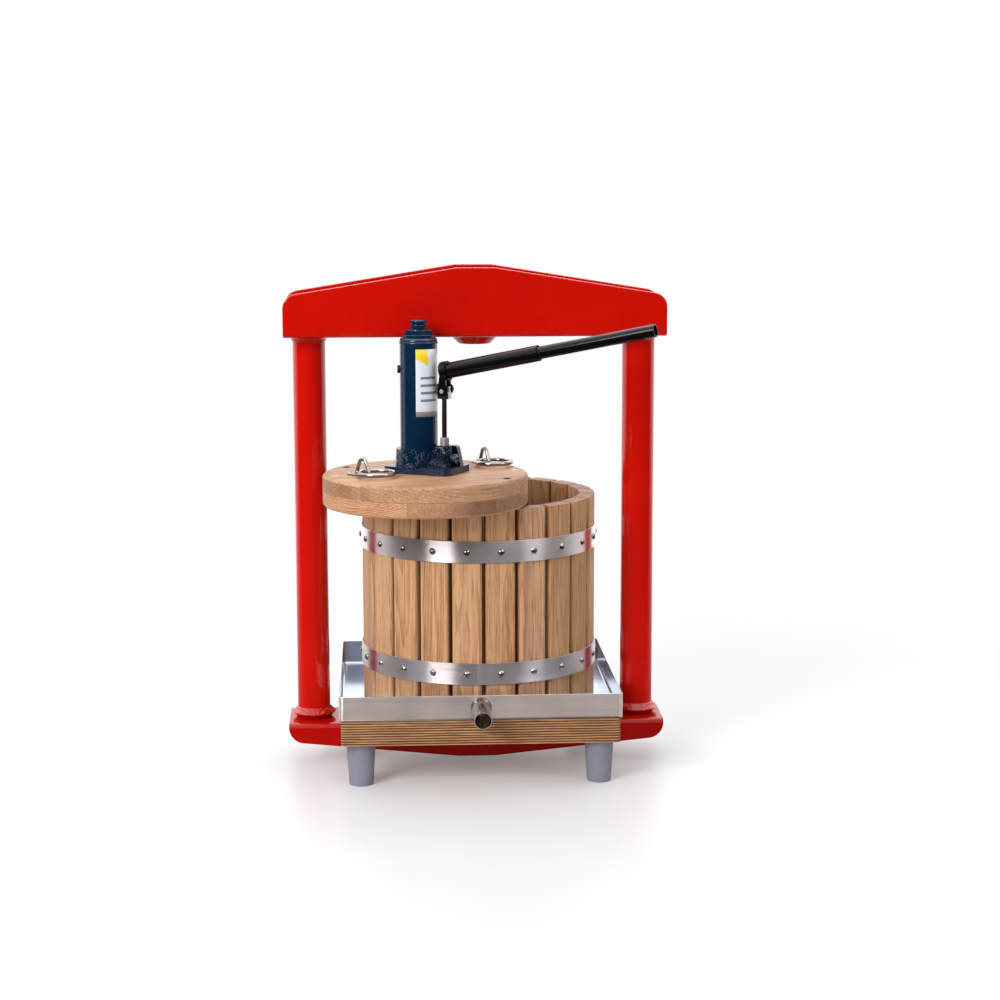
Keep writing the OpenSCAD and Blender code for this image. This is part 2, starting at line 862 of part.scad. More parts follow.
module tank_outline() {
    r = tank_d / 2;
    hole_r = cylinder_d / 2 + screw_gap;
    translate([r - tank_wall, collar_h]) square([tank_wall, tank_top - collar_h - tank_shoulder]);
    translate([hole_r, tank_top - tank_top_t]) square([r - tank_shoulder - hole_r, tank_top_t]);
    translate([r + tank_bead - tank_bead_r, tank_top - tank_shoulder - tank_bead_r]) circle(tank_bead_r);
    intersection() {
        translate([r - tank_shoulder, tank_top - tank_shoulder]) circle(tank_shoulder);
        translate([hole_r, tank_top - tank_top_t]) square([r - hole_r, tank_top_t]);
    }
}

module filler_place() {
    jack_place() translate([0, 0, filler_z]) rotate([0, 0, filler_turn]) translate([tank_d / 2, 0, 0])
        rotate([0, 90, 0]) children();
}

module oil_tank() {
    color(blue_paint) difference() {
        jack_place() rotate_extrude() tank_outline();
        filler_place() translate([0, 0, -filler_shank_l])
            cylinder(h = 2 * filler_shank_l, r = filler_shank_r + screw_gap);
    }
}

module filler_plug() {
    color(rubber) filler_place() {
        translate([0, 0, screw_gap]) cylinder(h = filler_h, r = filler_r);
        translate([0, 0, -filler_shank_l]) cylinder(h = filler_shank_l + filler_h, r = filler_shank_r);
    }
}

module pressure_cylinder() {
    color(steel) jack_place() translate([0, 0, cylinder_seat_h])
        tube(tank_top - cylinder_seat_h, cylinder_d / 2, ram_d / 2 + running_gap);
}

module gland_nut() {
    bore_r = ram_d / 2 + running_gap;
    color(blue_paint) jack_place() translate([0, 0, tank_top]) difference() {
        union() {
            cylinder(h = gland_flange_h, r = gland_d / 2 + gland_lip);
            cylinder(h = gland_h, r = gland_d / 2, $fn = 6);
        }
        translate([0, 0, -overrun]) cylinder(h = gland_h + 2 * overrun, r = bore_r);
        translate([0, 0, gland_h - wiper_h])
            cylinder(h = wiper_h + overrun, r = bore_r + wiper_w + screw_gap);
    }
}

module wiper_seal() {
    color(rubber) jack_place() translate([0, 0, tank_top + gland_h - wiper_h])
        tube(wiper_h, ram_d / 2 + running_gap + wiper_w, ram_d / 2 + running_gap);
}

module pump_sleeve() {
    color(zinc) jack_place() translate([plunger_u, 0, tower_h]) difference() {
        cylinder(h = sleeve_nut_h, r = sleeve_nut_r, $fn = 6);
        translate([0, 0, -overrun]) cylinder(h = sleeve_nut_h + 2 * overrun, r = plunger_d / 2 + running_gap);
    }
}

module check_ball() {
    color(zinc) jack_place() translate([plunger_u, 0, pump_bore_z + ball_r + screw_gap]) sphere(ball_r);
}

module ram() {
    top_z = tank_top + gland_h + ram_top_gap;
    color(steel) jack_place() difference() {
        translate([0, 0, ram_bottom_z]) cylinder(h = top_z - ram_bottom_z, r = ram_d / 2);
        translate([0, 0, top_z - screw_l - seat_gap])
            cylinder(h = screw_l + overrun, r = screw_d / 2 + running_gap);
        translate([0, 0, ram_bottom_z + ram_seal_z]) tube(ram_seal_h, ram_d, ram_d / 2 - ram_seal_w);
    }
}

module ram_seal() {
    color(rubber) jack_place() translate([0, 0, ram_bottom_z + ram_seal_z])
        tube(ram_seal_h, ram_d / 2, ram_d / 2 - ram_seal_w);
}

module extension_screw() {
    groove_z = head_h * head_groove_share;
    color(blue_paint) jack_place() translate([0, 0, tank_top + gland_h + ram_top_gap]) difference() {
        union() {
            translate([0, 0, -screw_l]) cylinder(h = screw_l, r = screw_d / 2);
            cylinder(h = head_h - head_chamfer, r = head_d / 2);
            translate([0, 0, head_h - head_chamfer])
                cylinder(h = head_chamfer, r1 = head_d / 2, r2 = head_d / 2 - head_chamfer);
        }
        translate([0, 0, groove_z]) tube(head_groove_h, head_d, head_d / 2 - head_groove_r);
    }
}

module release_valve() {
    slot_z = valve_shank_l + valve_knob_l - valve_slot_h;
    color(blue_paint) valve_place() difference() {
        union() {
            cylinder(h = valve_shank_l + valve_knob_l, r = valve_r);
            translate([0, 0, valve_shank_l]) cylinder(h = valve_knob_l, r = valve_knob_r);
        }
        translate([-valve_slot_w / 2, -valve_knob_r - overrun, slot_z])
            cube([valve_slot_w, 2 * (valve_knob_r + overrun), valve_slot_h + overrun]);
    }
}

// Pump and lever

module plunger_eye_outline() {
    half = plunger_pin_d / 2 + eye_slot + eye_wall;
    top = plunger_pin_d / 2 + eye_lift_gap + eye_wall;
    translate([plunger_u - half, pivot_z - eye_drop]) square([2 * half, eye_drop + top]);
}

module pump_plunger() {
    slot_r = plunger_pin_d / 2 + eye_lift_gap;
    color(steel) difference() {
        jack_place() {
            translate([plunger_u, 0, plunger_bottom_z])
                cylinder(h = pivot_z - eye_drop + eye_wall / 2 - plunger_bottom_z, r = plunger_d / 2);
            lever_plane(-eye_half_t, 2 * eye_half_t) plunger_eye_outline();
        }
        jack_place() lever_plane(-eye_half_t - overrun, 2 * (eye_half_t + overrun)) {
            translate([plunger_u - eye_slot, pivot_z - slot_r]) square([2 * eye_slot, 2 * slot_r]);
            for (s = [-1, 1]) translate([plunger_u + s * eye_slot, pivot_z]) circle(slot_r);
        }
        jack_place() translate([plunger_u, 0, plunger_bottom_z + plunger_seal_z])
            tube(plunger_seal_h, plunger_d, plunger_d / 2 - plunger_seal_w);
    }
}

module plunger_seal() {
    color(rubber) jack_place() translate([plunger_u, 0, plunger_bottom_z + plunger_seal_z])
        tube(plunger_seal_h, plunger_d / 2, plunger_d / 2 - plunger_seal_w);
}

module bracket_outline() {
    root_u = tank_d / 2 * bracket_root_share;
    translate([root_u, pivot_z - bracket_h / 2]) square([fulcrum_u - root_u - bracket_r / 2, bracket_h]);
    translate([root_u, pivot_z - bracket_r]) square([fulcrum_u - root_u, 2 * bracket_r]);
    translate([fulcrum_u, pivot_z]) circle(bracket_r);
}

module fulcrum_bracket() {
    color(blue_paint) jack_place() difference() {
        lever_plane(tab_inner_v + tab_t + seat_gap, bracket_t) bracket_outline();
        cylinder(h = tank_top, r = tank_d / 2);
        fulcrum_bore();
    }
}

// Bores for the lever's pins: the fulcrum's is on the back alone, the plunger's goes right across
module fulcrum_bore() {
    translate([fulcrum_u, 0, pivot_z]) rotate([-90, 0, 0])
        cylinder(h = tank_d, r = fulcrum_pin_d / 2 + running_gap);
}

module plunger_bore() {
    translate([plunger_u, 0, pivot_z]) rotate([90, 0, 0])
        cylinder(h = tank_d, r = plunger_pin_d / 2 + running_gap, center = true);
}

module fulcrum_pin() {
    color(zinc) jack_place() translate([fulcrum_u, tab_inner_v, pivot_z]) rotate([-90, 0, 0])
        cylinder(h = tab_t + seat_gap + bracket_t + pin_end, r = fulcrum_pin_d / 2);
}

module plunger_pin() {
    color(zinc) jack_place() translate([plunger_u, 0, pivot_z]) rotate([90, 0, 0])
        cylinder(h = 2 * (tab_inner_v + tab_t), r = plunger_pin_d / 2, center = true);
}

// One cheek of the lever, from the pin nearest to the tank out to its lobe
module tab_outline(inner_u) {
    u1 = plunger_u + tab_r;
    top = pivot_z + handle_z;
    polygon([[inner_u - tab_r, pivot_z], [u1, pivot_z], [u1, top], [sleeve_u, top]]);
    translate([plunger_u, pivot_z]) circle(tab_r);
    translate([plunger_u + lobe_u, pivot_z + lobe_z]) circle(lobe_r);
}

// Foot of the back cheek, from the plunger pin to the fulcrum
module fulcrum_link_outline() {
    translate([fulcrum_u, pivot_z - tab_r]) square([plunger_u - fulcrum_u, 2 * tab_r]);
    translate([fulcrum_u, pivot_z]) circle(tab_r);
}

module handle_socket() {
    bore_r = lower_tube_d / 2 + sliding_gap;
    color(blue_paint) difference() {
        union() {
            jack_place() lever_plane(-tab_inner_v - tab_t, tab_t) tab_outline(plunger_u);
            jack_place() lever_plane(tab_inner_v, tab_t) {
                tab_outline(fulcrum_u);
                fulcrum_link_outline();
            }
            handle_place() cylinder(h = sleeve_l, r = bore_r + sleeve_wall);
        }
        handle_place() translate([0, 0, -overrun]) cylinder(h = sleeve_l + 2 * overrun, r = bore_r);
        jack_place() fulcrum_bore();
        jack_place() plunger_bore();
    }
}

module handle_lower_tube() {
    color(black_paint) handle_place() tube(lower_tube_l, lower_tube_d / 2, upper_tube_d / 2 + sliding_gap);
}

module handle_upper_tube() {
    color(black_paint) handle_place() translate([0, 0, lower_tube_l - tube_overlap])
        tube(upper_tube_l, upper_tube_d / 2, upper_tube_d / 2 - upper_tube_wall);
}

upper_beam();
lower_beam();
left_upright();
right_upright();
upright_welds();
ram_seat();
base_board();
board_bolts();
board_nuts();
foot_front_left();
foot_front_right();
foot_back_left();
foot_back_right();
foot_screws();
juice_tray();
spout();
staves();
lower_hoop();
upper_hoop();
hoop_screws();
plate_bottom_layer();
plate_top_layer();
plate_screws();
left_pad_eye();
right_pad_eye();
pad_eye_screws();
left_ring();
right_ring();
jack_base();
oil_tank();
pressure_cylinder();
gland_nut();
wiper_seal();
filler_plug();
pump_sleeve();
check_ball();
fulcrum_bracket();
fulcrum_pin();
ram();
ram_seal();
extension_screw();
release_valve();
pump_plunger();
plunger_seal();
handle_socket();
plunger_pin();
handle_lower_tube();
handle_upper_tube();
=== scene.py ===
import math

import bpy
from mathutils import Matrix, Vector

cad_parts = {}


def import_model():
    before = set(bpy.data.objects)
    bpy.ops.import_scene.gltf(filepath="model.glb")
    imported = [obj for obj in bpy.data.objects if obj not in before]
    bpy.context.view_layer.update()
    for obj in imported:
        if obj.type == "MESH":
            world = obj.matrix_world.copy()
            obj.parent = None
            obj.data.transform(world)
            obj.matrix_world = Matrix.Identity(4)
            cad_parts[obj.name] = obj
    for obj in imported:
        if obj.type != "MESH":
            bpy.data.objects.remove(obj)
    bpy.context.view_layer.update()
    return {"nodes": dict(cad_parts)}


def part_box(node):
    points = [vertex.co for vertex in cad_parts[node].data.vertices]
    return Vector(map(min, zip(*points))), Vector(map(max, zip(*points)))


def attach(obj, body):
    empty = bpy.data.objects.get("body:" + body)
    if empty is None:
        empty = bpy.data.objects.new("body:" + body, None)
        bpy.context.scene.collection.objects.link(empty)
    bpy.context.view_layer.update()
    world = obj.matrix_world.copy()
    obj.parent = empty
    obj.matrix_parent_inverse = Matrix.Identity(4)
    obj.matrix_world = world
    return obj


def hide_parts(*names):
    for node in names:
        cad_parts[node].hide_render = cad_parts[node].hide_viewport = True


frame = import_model()
nodes = frame["nodes"]
scene = bpy.context.scene
MM = 0.001
WHITE = (1, 1, 1, 1)
HALF = (0.5, 0.5, 0.5)
X, Y, Z = 0, 1, 2


# Node building

def rgb(r, g, b):
    """A colour written in sRGB steps of 0 to 255, as the linear colour that a shader takes."""
    def lin(c):
        c /= 255
        return c / 12.92 if c <= 0.04045 else ((c + 0.055) / 1.055) ** 2.4
    return (lin(r), lin(g), lin(b), 1)


def shaded(colour, share):
    """A linear colour, darker or lighter by a share."""
    return tuple(min(1, c * share) for c in colour[:3]) + (1,)


class Nodes:
    """A node tree that starts empty, with short calls for the nodes that the trees here share."""

    def __init__(self, tree):
        self.tree = tree
        self.tree.nodes.clear()

    def put(self, socket, value):
        if isinstance(value, bpy.types.NodeSocket):
            self.tree.links.new(value, socket)
        else:
            socket.default_value = value

    def add(self, kind, inputs=None, **props):
        node = self.tree.nodes.new("ShaderNode" + kind)
        for key, value in props.items():
            setattr(node, key, value)
        for key, value in (inputs or {}).items():
            self.put(node.inputs[key], value)
        return node

    def coords(self):
        return self.add("TexCoord").outputs["Object"]

    def facing(self):
        return self.add("TexCoord").outputs["Normal"]

    def scaled(self, vector, scale):
        return self.add("Mapping", {"Vector": vector, "Scale": scale}).outputs[0]

    def turned(self, vector, rotation):
        return self.add("Mapping", {"Vector": vector, "Rotation": rotation}).outputs[0]

    def noise(self, vector, scale=1.0, detail=3.0, rough=0.5, distortion=0.0):
        return self.add("TexNoise", {"Vector": vector, "Scale": scale, "Detail": detail,
                                     "Roughness": rough, "Distortion": distortion}).outputs[0]

    def math(self, op, a, b=0.0, clamp=False):
        return self.add("Math", {0: a, 1: b}, operation=op, use_clamp=clamp).outputs[0]

    def plus(self, a, b, clamp=False):
        return self.math("ADD", a, b, clamp)

    def minus(self, a, b):
        return self.math("SUBTRACT", a, b)

    def times(self, a, b, clamp=False):
        return self.math("MULTIPLY", a, b, clamp)

    def more(self, a, b):
        return self.math("GREATER_THAN", a, b)

    def less(self, a, b):
        return self.math("LESS_THAN", a, b)

    def size(self, a):
        return self.math("ABSOLUTE", a)

    def vmath(self, op, a, b=(0, 0, 0)):
        return self.add("VectorMath", {0: a, 1: b}, operation=op).outputs[0]

    def range(self, value, lo, hi, to_lo=0.0, to_hi=1.0):
        return self.add("MapRange", {0: value, 1: lo, 2: hi, 3: to_lo, 4: to_hi}).outputs[0]

    def mix(self, fac, a, b):
        return self.add("Mix", {0: fac, 6: a, 7: b}, data_type="RGBA").outputs[2]

    def mix_level(self, fac, a, b):
        return self.add("Mix", {0: fac, 2: a, 3: b}, data_type="FLOAT").outputs[0]

    def split(self, vector):
        return self.add("SeparateXYZ", {0: vector}).outputs

    def outward(self, normal, from_middle, a, b):
        """Above 0 where a face looks away from the middle, seen along the axes a and b alone."""
        return self.plus(self.times(normal[a], from_middle[a]),
                         self.times(normal[b], from_middle[b]))

    def bump(self, height, strength, distance):
        return self.add("Bump", {"Height": height, "Strength": strength,
                                 "Distance": distance}).outputs[0]


class Material(Nodes):
    """A material with one Principled shader, whose constants are given by name."""

    def __init__(self, name, **principled):
        self.mat = bpy.data.materials.new(name)
        self.mat.use_nodes = True
        super().__init__(self.mat.node_tree)
        self.out = self.add("OutputMaterial")
        self.bsdf = self.add("BsdfPrincipled", principled)
        self.put(self.out.inputs["Surface"], self.bsdf.outputs[0])

    def set(self, **inputs):
        for key, value in inputs.items():
            self.put(self.bsdf.inputs[key.replace("_", " ")], value)


# Paint, steel, wood and plastic. Scales are in cells per metre, and depths in metres. Heights are
# shares of a depth.

PEEL_DEPTH, BROAD_PEEL_SHARE = 0.0006, 0.16
RIPPLES, RIPPLE_HEIGHT, RIPPLE_UNEVEN = 26.0, 1.6, 5.0
GRAIN_SCALE, CAST_PEEL_SHARE = 430.0, 0.08


def paint(name, colour, deep, roughness, peel, coat=0.0, peel_scale=900.0, peel_strength=0.05,
          bead=0.0, gloss=0.5, specks=0.0):
    """Gloss paint: a slow drift in its colour, fine orange peel, and a little dust in the gloss.

    peel is the height of the broad peel against the fine one. bead is the distance of the
    uprights' axes from the middle: it adds weld ripples round them. specks is the height of a
    casting's grains.
    """
    t = Material(name, **{"IOR": 1.45, "Coat Weight": coat, "Coat Roughness": 0.05,
                          "Specular IOR Level": gloss})
    co = t.coords()
    drift = t.noise(co, scale=14, detail=4, rough=0.6)
    t.set(Base_Color=t.mix(t.range(drift, 0.35, 0.65), colour, deep))
    dust = t.noise(co, scale=260, detail=5, rough=0.7)
    t.set(Roughness=t.range(dust, 0.3, 0.75, roughness * 0.75, roughness * 1.5))
    fine = t.noise(co, scale=peel_scale, detail=2)
    broad = t.noise(co, scale=peel_scale * BROAD_PEEL_SHARE, detail=2)
    height = t.plus(fine, t.times(broad, peel))
    if bead:
        x, y = t.split(co)[:2]
        round_it = t.math("ARCTAN2", y, t.minus(t.size(x), bead))
        uneven = t.times(t.noise(co, scale=90, detail=2), RIPPLE_UNEVEN)
        ripple = t.math("SINE", t.plus(t.times(round_it, RIPPLES), uneven))
        height = t.plus(height, t.times(ripple, RIPPLE_HEIGHT))
    if specks:
        grains = t.add("TexVoronoi", {"Vector": co, "Scale": GRAIN_SCALE}).outputs["Distance"]
        patches = t.range(t.noise(co, scale=150, detail=2), 0.4, 0.6)
        grit = t.times(t.range(grains, 0.12, 0.5, 1.0, 0.0), patches)
        height = t.plus(t.times(height, CAST_PEEL_SHARE), t.times(grit, specks))
    t.set(Normal=t.bump(height, peel_strength, PEEL_DEPTH))
    return t.mat


BRUSH_DEPTH, BRUSH_DARK_SHARE = 0.0002, 0.84
LINES_SHARE, CLOUD_SHARE = 0.65, 0.35
SIDE_LIMIT, RIM_LIMIT, INSIDE_LIMIT = 0.7, -0.9, -0.01
INSIDE_GLOSS, RIM_MATT = 0.28, 0.4


def steel(name, colour, rough, streak, grain=0.12, by_side=False, spread=0.0, rim=None,
          middle=(0, 0, 0), inside_shade=None):
    """Steel, brushed along the directions that streak leaves slow. spread smears light upright.

    by_side is for the tray: its end walls are brushed across, and its inside, seen from middle, is
    glossier and gets the darker, cooler inside colour, painted shade. rim is a near-white colour
    for the spout's end, a painted highlight, and the inside colour is painted shade in its bore.
    """
    t = Material(name, **{"Metallic": 1.0, "Anisotropic": spread, "Anisotropic Rotation": 0.25})
    if spread:
        t.set(Tangent=t.add("Tangent", direction_type="RADIAL", axis="Z").outputs[0])
    co = t.coords()
    lines = t.noise(t.scaled(co, streak), detail=4, rough=0.65)
    if by_side:
        normal = t.split(t.add("NewGeometry").outputs["Normal"])
        sideways = t.more(t.size(normal[X]), SIDE_LIMIT)
        swapped = (streak[Y], streak[X], streak[Z])
        across = t.noise(t.scaled(co, swapped), detail=4, rough=0.65)
        lines = t.plus(t.times(across, sideways), t.times(lines, t.minus(1, sideways)))
    cloud = t.noise(co, scale=22, detail=3, rough=0.6)
    shade = t.plus(t.times(lines, LINES_SHARE), t.times(cloud, CLOUD_SHARE))
    tone = t.mix(t.range(shade, 0.38, 0.62), shaded(colour, BRUSH_DARK_SHARE), colour)
    sheen = t.range(shade, 0.3, 0.7, rough * 0.75, rough * 1.3)
    # Inside the tray: glossier, and a darker, cooler colour that is painted shade.
    if by_side:
        from_middle = t.split(t.vmath("SUBTRACT", co, middle))
        inward = t.less(t.outward(normal, from_middle, X, Y), INSIDE_LIMIT)
        inside = t.math("MAXIMUM", inward, t.more(normal[Z], SIDE_LIMIT))
        sheen = t.times(sheen, t.range(inside, 0, 1, 1.0, INSIDE_GLOSS))
        tone = t.mix(inside, tone, inside_shade)
    # The spout's bore gets a darker colour, painted shade, and its end a near-white one, a painted
    # highlight.
    if rim:
        facing = t.split(t.facing())
        from_axis = t.split(t.vmath("SUBTRACT", co, middle))
        tone = t.mix(t.less(t.outward(facing, from_axis, X, Z), 0.0), tone, inside_shade)
        end = t.less(facing[Y], RIM_LIMIT)
        tone = t.mix(end, tone, rim)
        sheen = t.plus(sheen, t.times(end, RIM_MATT))
    t.set(Base_Color=tone, Roughness=sheen)
    t.set(Normal=t.bump(lines, grain, BRUSH_DEPTH))
    return t.mat


ISLAND_STEP = 977
PLANK_SHIFT, PLANK_LEAN = (0.22, 0.22, 3.0), 0.09
RING_WARP, LATE_WOOD_POWER = (0.016, 0.016, 0.0), 1.7
FIBRE_SHARE, STREAK_SHARE, DRIFT = 0.42, 0.24, 0.12
PORE_SHARE, RAY_SHARE, RAY_LIGHT, END_SHARE = 0.6, 0.16, 1.3, 0.75
# Painted shade in the gaps between staves: a dark colour on their narrow sides, deeper in.
GAP_SHADE_COLOUR, GAP_SHADE_SHARE = rgb(44, 26, 16), 0.7
GAP_STARTS, GAP_DEEP = 0.0025, 0.0085
WOOD_DEPTH = 0.0004


def oak(name, light, dark, pore, lie=None, plank=0.0, ring=110.0, bands=0.36, middle=None,
        outer=0.0):
    """Oak: growth rings, pores, rays, darker end grain and a tint for each plank.

    The grain runs along Z, or level at the angle lie from X. Faces that look along the circle round
    middle, the narrow sides of staves, are darker the farther they lie inside the radius outer:
    this darkening is painted shade in the gaps between the staves.
    """
    t = Material(name, **{"Specular IOR Level": 0.35})
    co, facing = t.coords(), t.facing()
    if lie is not None:
        level, stand = (0, 0, -lie), (0, math.radians(90), 0)
        co = t.turned(t.turned(co, level), stand)
        facing = t.turned(t.turned(facing, level), stand)
    if plank:
        index = t.math("FLOOR", t.math("DIVIDE", t.split(co)[Y], plank))
    else:
        index = t.times(t.add("NewGeometry").outputs["Random Per Island"], ISLAND_STEP)
    dice = t.add("TexWhiteNoise", {"W": index}, noise_dimensions="1D").outputs["Color"]
    roll = t.split(dice)
    shift = t.vmath("MULTIPLY", t.vmath("SUBTRACT", dice, HALF), PLANK_SHIFT)
    own = t.vmath("ADD", co, shift)
    own_x, own_y, own_z = t.split(own)
    lean = t.times(own_z, t.range(roll[2], 0, 1, -PLANK_LEAN, PLANK_LEAN))
    tilted = t.add("CombineXYZ", {X: t.plus(own_x, lean), Y: own_y, Z: own_z}).outputs[0]
    warp = t.add("TexNoise", {"Vector": t.scaled(own, (18, 18, 3.2)), "Scale": 1.0, "Detail": 3.0,
                              "Roughness": 0.55}).outputs["Color"]
    bend = t.vmath("MULTIPLY", t.vmath("SUBTRACT", warp, HALF), RING_WARP)
    rings = t.add("TexWave", {"Vector": t.vmath("ADD", tilted, bend), "Scale": ring,
                              "Distortion": 0.0, "Detail": 0.0},
                  wave_type="RINGS", rings_direction="Z", wave_profile="SAW").outputs["Fac"]
    band = t.math("POWER", rings, LATE_WOOD_POWER)
    fibre = t.noise(t.scaled(own, (620, 620, 22)), detail=4, rough=0.6)
    streak = t.noise(t.scaled(own, (240, 240, 7)), detail=4, rough=0.65)
    drift = t.noise(t.scaled(own, (30, 30, 5)), detail=2)
    pores = t.range(t.noise(t.scaled(own, (1100, 1100, 40)), detail=2), 0.54, 0.68)
    pores = t.times(pores, t.range(band, 0.1, 0.9, 0.35, 1.0))
    rays = t.range(t.noise(t.scaled(own, (700, 260, 60)), detail=1, rough=0.4), 0.66, 0.76)
    tone = t.plus(t.times(band, bands),
                  t.plus(t.times(t.range(fibre, 0.35, 0.65), FIBRE_SHARE),
                         t.times(t.range(streak, 0.3, 0.7), STREAK_SHARE)))
    tone = t.plus(tone, t.range(drift, 0.3, 0.7, -DRIFT, DRIFT))
    colour = t.mix(t.range(tone, 0.22, 0.92), light, dark)
    colour = t.mix(t.times(pores, PORE_SHARE), colour, pore)
    colour = t.mix(t.times(rays, RAY_SHARE), colour, shaded(light, RAY_LIGHT))
    ends = t.range(t.size(t.split(facing)[Z]), 0.8, 0.95, 0.0, END_SHARE)
    colour = t.mix(t.times(ends, t.range(tone, 0.1, 0.9, 0.55, 1.0)), colour, pore)
    colour = t.add("HueSaturation", {"Hue": t.range(roll[0], 0, 1, 0.494, 0.505),
                                     "Saturation": t.range(roll[1], 0, 1, 0.92, 1.08),
                                     "Value": t.range(roll[2], 0, 1, 0.86, 1.08),
                                     "Color": colour}).outputs[0]
    # Painted shade: the narrow sides of staves darken towards the inside of the gaps.
    if middle:
        spoke = t.vmath("MULTIPLY", t.vmath("SUBTRACT", co, middle), (1, 1, 0))
        x, y = t.split(spoke)[:2]
        reach = t.math("SQRT", t.plus(t.times(x, x), t.times(y, y)))
        along = t.split(t.vmath("CROSS_PRODUCT", t.vmath("NORMALIZE", spoke), facing))[Z]
        deep = t.range(reach, outer - GAP_DEEP, outer - GAP_STARTS, GAP_SHADE_SHARE, 0.0)
        colour = t.mix(t.times(t.range(t.size(along), 0.65, 0.92), deep), colour, GAP_SHADE_COLOUR)
    t.set(Base_Color=colour, Roughness=t.range(tone, 0, 1, 0.42, 0.62))
    relief = t.minus(t.times(fibre, 0.4), pores)
    t.set(Normal=t.bump(relief, 0.22, WOOD_DEPTH))
    return t.mat


LAYER_WAVE_SHARE, PATCH_SHARE, GLUE_SHARE = 1.3, 0.45, 0.75
FLAME_SHARE, HAIR_SHARE = 0.65, 0.35


def ply(name, bottom, layer):
    """Plywood: thin layers, alternately along and across, dark glue lines, veneer on its faces."""
    t = Material(name, **{"Specular IOR Level": 0.4})
    co = t.coords()
    wave = t.noise(t.scaled(co, (11, 11, 120)), detail=3, rough=0.6)
    height = t.plus(t.minus(t.split(co)[Z], bottom),
                    t.times(t.minus(wave, 0.5), layer * LAYER_WAVE_SHARE))
    turn = t.math("FRACT", t.math("DIVIDE", height, layer * 2))
    across = t.times(t.range(turn, 0.46, 0.54), t.range(turn, 0.95, 1.0, 1.0, 0.0))
    glue = t.plus(t.range(t.size(t.minus(turn, 0.5)), 0.0, 0.06, 1.0, 0.0),
                  t.range(turn, 0.95, 1.0))
    pores = t.range(t.noise(t.scaled(co, (900, 900, 900)), detail=2), 0.5, 0.68)
    fibre = t.range(t.noise(t.scaled(co, (40, 40, 1300)), detail=3, rough=0.6), 0.3, 0.7)
    patch = t.range(t.noise(t.scaled(co, (26, 26, 330)), detail=2), 0.35, 0.65)
    along = t.mix(fibre, rgb(226, 172, 116), rgb(166, 112, 70))
    along = t.mix(t.times(patch, PATCH_SHARE), along, rgb(120, 74, 42))
    ends = t.mix(pores, rgb(88, 52, 30), rgb(42, 21, 12))
    colour = t.mix(across, along, ends)
    colour = t.mix(t.times(glue, GLUE_SHARE, clamp=True), colour, rgb(50, 28, 18))
    face = t.range(t.size(t.split(t.facing())[Z]), 0.8, 0.95)
    flame = t.noise(t.scaled(co, (5, 46, 1)), detail=4, rough=0.6, distortion=0.8)
    hair = t.noise(t.scaled(co, (22, 700, 1)), detail=3, rough=0.6)
    figure = t.plus(t.times(flame, FLAME_SHARE), t.times(hair, HAIR_SHARE))
    veneer = t.mix(t.range(figure, 0.36, 0.64), rgb(206, 160, 112), rgb(166, 116, 74))
    colour = t.mix(face, colour, veneer)
    t.set(Base_Color=colour, Roughness=t.range(fibre, 0, 1, 0.42, 0.58))
    rough_edge = t.minus(fibre, t.times(across, pores))
    relief = t.plus(t.times(rough_edge, t.minus(1, face)), t.times(hair, face))
    t.set(Normal=t.bump(relief, 0.25, WOOD_DEPTH))
    return t.mat


def moulded(name, colour, deep, roughness, grain):
    """Plastic or rubber with a fine moulded grain."""
    t = Material(name, **{"IOR": 1.46})
    co = t.coords()
    cloud = t.noise(co, scale=30, detail=4, rough=0.6)
    t.set(Base_Color=t.mix(t.range(cloud, 0.35, 0.65), colour, deep))
    fine = t.noise(co, scale=1700, detail=2, rough=0.6)
    t.set(Roughness=t.range(fine, 0.3, 0.7, roughness * 0.85, roughness * 1.15))
    t.set(Normal=t.bump(fine, grain, 0.0003))
    return t.mat


# The lower beam, the lower hoop and the tray's inside differ from like pieces: darker copies,
# painted shade

red = paint("red_paint", rgb(201, 14, 1), rgb(193, 11, 1), 0.13, 1.5, coat=0.2, gloss=0.4)
# A darker, less glossy copy of the red paint for the lower beam: painted shade.
red_with_painted_shade = paint("red_paint_with_painted_shade", rgb(184, 11, 1), rgb(176, 9, 1), 0.13, 1.5, coat=0.05, gloss=0.24)
upright_low, upright_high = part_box("right_upright")
weld_red = paint("red_paint_on_weld", rgb(204, 16, 3), rgb(188, 11, 2), 0.13, 3.0, coat=0.2,
                 peel_scale=420, peel_strength=0.3, bead=(upright_low.x + upright_high.x) / 2)
blue = paint("blue_paint", rgb(4, 38, 66), rgb(2, 29, 53), 0.16, 1.5, coat=0.1, gloss=0.4)
cast = paint("blue_cast", rgb(3, 33, 60), rgb(1, 23, 45), 0.07, 1.4, peel_scale=800,
             peel_strength=1.0, gloss=0.5, specks=1.3)
black = paint("black_paint", rgb(12, 11, 17), rgb(8, 7, 11), 0.11, 1.2, peel_scale=1100,
              peel_strength=0.015, gloss=0.26)

ALONG_TRAY, ROUND_HOOP, ALONG_SPOUT = (5, 1300, 1300), (8, 8, 1500), (500, 4, 500)
ANY_WAY = (300, 300, 300)
tray_low, tray_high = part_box("juice_tray")
# The tray's inside gets a darker, cooler colour than its outside: painted shade.
tray_steel = steel("stainless_sheet", rgb(245, 229, 224), 0.5, ALONG_TRAY, 0.1, by_side=True,
                   spread=0.9, middle=(tray_low + tray_high) / 2, inside_shade=rgb(205, 213, 229))
hoop_steel = steel("stainless_hoop", rgb(232, 222, 223), 0.34, ROUND_HOOP, 0.03, spread=1.0)
# A darker copy of the hoop steel for the lower hoop: painted shade.
hoop_steel_with_painted_shade = steel("stainless_hoop_with_painted_shade", rgb(208, 198, 198), 0.34, ROUND_HOOP, 0.02, spread=1.0)
bright_steel = steel("polished_steel", rgb(158, 152, 149), 0.14, (120, 120, 400), 0.02)
